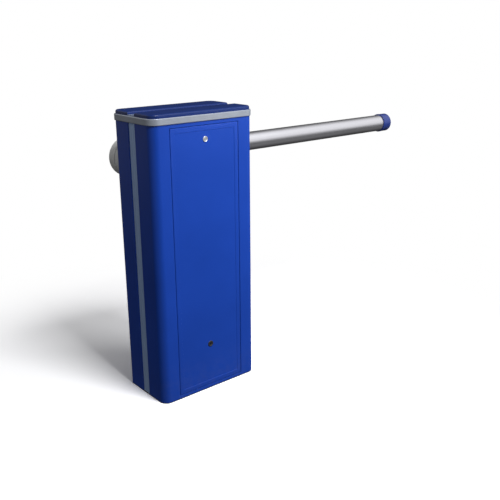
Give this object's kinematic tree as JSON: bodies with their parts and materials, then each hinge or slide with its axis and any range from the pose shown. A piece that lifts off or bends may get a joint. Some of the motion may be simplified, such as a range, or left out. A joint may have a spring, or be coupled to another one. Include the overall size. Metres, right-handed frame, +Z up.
{
  "type": "parking barrier gate",
  "caption": "Parking barrier gate: blue two-shell cabinet with a front door and lids, and a round aluminium boom in a clamp holder that lifts a quarter turn.",
  "frame": {"origin": "centre of the anchor hole pattern, on the floor", "axes": "+X along the lowered boom, -Y towards the door, +Z up"},
  "size_m": [1.555, 0.3818, 1.035],
  "materials": {
    "cabinet_blue": "fine-textured polyester powder coat, semi-gloss",
    "end_cap_blue": "moulded, glossy",
    "profile_grey": "extruded, satin anodised",
    "band_grey": "silver-grey satin paint",
    "boom_aluminium": "extruded, satin",
    "holder_grey": "light grey powder coat on a casting",
    "zinc_steel": "zinc plated",
    "bolt_steel": "zinc plated",
    "ground_steel": "ground, oiled",
    "cast_iron_grey": "as cast, primed",
    "bush_bronze": "machined bronze",
    "rubber_black": "matt",
    "spring_steel": "black coated wire",
    "hydraulic_aluminium": "die cast and machined",
    "motor_black": "black semi-matt paint",
    "lock_chrome": "plated",
    "release_black": "moulded",
    "box_grey": "moulded",
    "plastic_black": "moulded",
    "board_green": "solder-masked laminate",
    "transformer_steel": "varnished laminations"
  },
  "bodies": {
    "cabinet": {"base_plate": "zinc_steel", "base_gasket": "rubber_black", "front_shell": "cabinet_blue", "rear_shell": "cabinet_blue", "joint_profiles": "profile_grey", "top_band": "band_grey", "front_lid": "cabinet_blue", "rear_lid": "cabinet_blue", "lid_channel": "profile_grey", "door_frame": "cabinet_blue", "door_seal": "rubber_black", "front_frame_plate": "zinc_steel", "rear_frame_plate": "zinc_steel", "tie_tubes": "zinc_steel", "tie_bolts": "bolt_steel", "bearing_housings": "cast_iron_grey", "shaft_bushes": "bush_bronze", "bearing_screws": "bolt_steel", "foot_bolts": "bolt_steel", "shell_screws": "bolt_steel", "shaft_seal": "rubber_black", "rack_guide": "cast_iron_grey", "cylinder_tube": "hydraulic_aluminium", "cylinder_gland": "hydraulic_aluminium", "lower_spring_seat": "zinc_steel", "balance_spring": "spring_steel", "valve_block": "hydraulic_aluminium", "oil_tank": "hydraulic_aluminium", "pump_motor": "motor_black", "run_capacitor": "box_grey", "stop_blocks": "zinc_steel", "stop_buffers": "rubber_black", "position_sensors": "plastic_black", "control_box": "box_grey", "control_cover": "box_grey", "cable_glands": "plastic_black", "circuit_board": "board_green", "transformer": "transformer_steel"},
    "door": {"door_panel": "cabinet_blue", "door_hooks": "cabinet_blue", "lock_barrel": "lock_chrome", "release_escutcheon": "release_black"},
    "lock": {"lock_plug": "lock_chrome", "lock_cam": "bolt_steel"},
    "release": {"release_plug": "release_black"},
    "release_valve": {"release_spindle": "ground_steel"},
    "boom": {"main_shaft": "ground_steel", "shaft_keys": "bolt_steel", "drive_sector": "ground_steel", "stop_arm": "zinc_steel", "position_flag": "zinc_steel", "boom_holder": "holder_grey", "boom_clamp": "holder_grey", "clamp_bolts": "bolt_steel", "boom_tube": "boom_aluminium", "end_cap": "end_cap_blue"},
    "rack": {"drive_rack": "ground_steel", "piston_rod": "ground_steel", "piston": "ground_steel", "upper_spring_seat": "zinc_steel"}
  },
  "joints": [
    {"name": "boom_lift", "type": "hinge", "parent": "cabinet", "child": "boom", "pos_m": [-0.097, 0, 0.844], "axis": [0, -1, 0], "range_deg": [0, 90]},
    {"name": "rack_rise", "type": "slide", "parent": "cabinet", "child": "rack", "axis": [0, 0, 1], "range_m": [0, 0.0943], "deforming": ["balance_spring"]},
    {"name": "door_tilt", "type": "hinge", "parent": "cabinet", "child": "door", "pos_m": [0, -0.123, 0.0155], "axis": [1, 0, 0], "range_deg": [0, 30]},
    {"name": "lock_turn", "type": "hinge", "parent": "door", "child": "lock", "pos_m": [0, -0.12, 0.939], "axis": [0, -1, 0], "range_deg": [0, 90]},
    {"name": "release_turn", "type": "hinge", "parent": "door", "child": "release", "pos_m": [0, -0.12, 0.18], "axis": [0, -1, 0], "range_deg": [0, 90]},
    {"name": "release_valve_turn", "type": "hinge", "parent": "cabinet", "child": "release_valve", "pos_m": [0, -0.07, 0.18], "axis": [0, -1, 0], "range_deg": [0, 90]}
  ],
  "couplings": [
    {"joint": "rack_rise", "follows": "boom_lift", "m_per_rad": 0.06},
    {"joint": "release_valve_turn", "follows": "release_turn", "ratio": 1}
  ]
}
